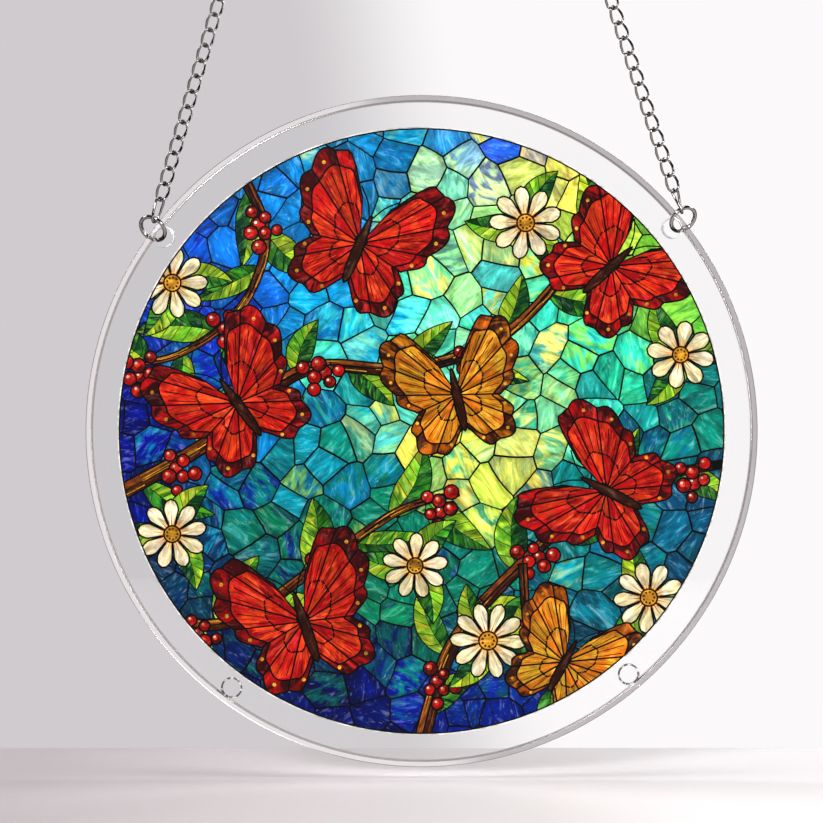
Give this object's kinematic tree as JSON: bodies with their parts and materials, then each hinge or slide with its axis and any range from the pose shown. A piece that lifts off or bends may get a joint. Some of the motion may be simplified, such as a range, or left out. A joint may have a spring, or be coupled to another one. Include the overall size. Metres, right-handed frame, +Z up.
{
  "type": "acrylic suncatcher",
  "caption": "Round clear acrylic suncatcher with a printed leaded-glass style picture, hung by jump rings on a fine twisted-link chain.",
  "frame": {"origin": "where a hook bears, under the upper wire of the level hanging link in the middle of the chain", "axes": "+Z up, +X to the right seen from the printed side, +Y back through the disc; the printed side faces -Y"},
  "size_m": [0.15, 0.0063, 0.3076],
  "materials": {
    "clear_acrylic": "clear cast acrylic sheet, polished, with a bevelled clear edge",
    "printed_film": "glossy printed film with a leaded-glass style picture in blue, teal, green, red and amber",
    "polished_steel": "polished stainless steel wire, bright with dark reflections"
  },
  "bodies": {
    "root": {"acrylic_disc": "clear_acrylic", "picture": "printed_film", "jump_ring_left": "polished_steel", "jump_ring_right": "polished_steel", "chain_left": "polished_steel", "chain_right": "polished_steel", "hanging_link": "polished_steel"}
  },
  "joints": []
}
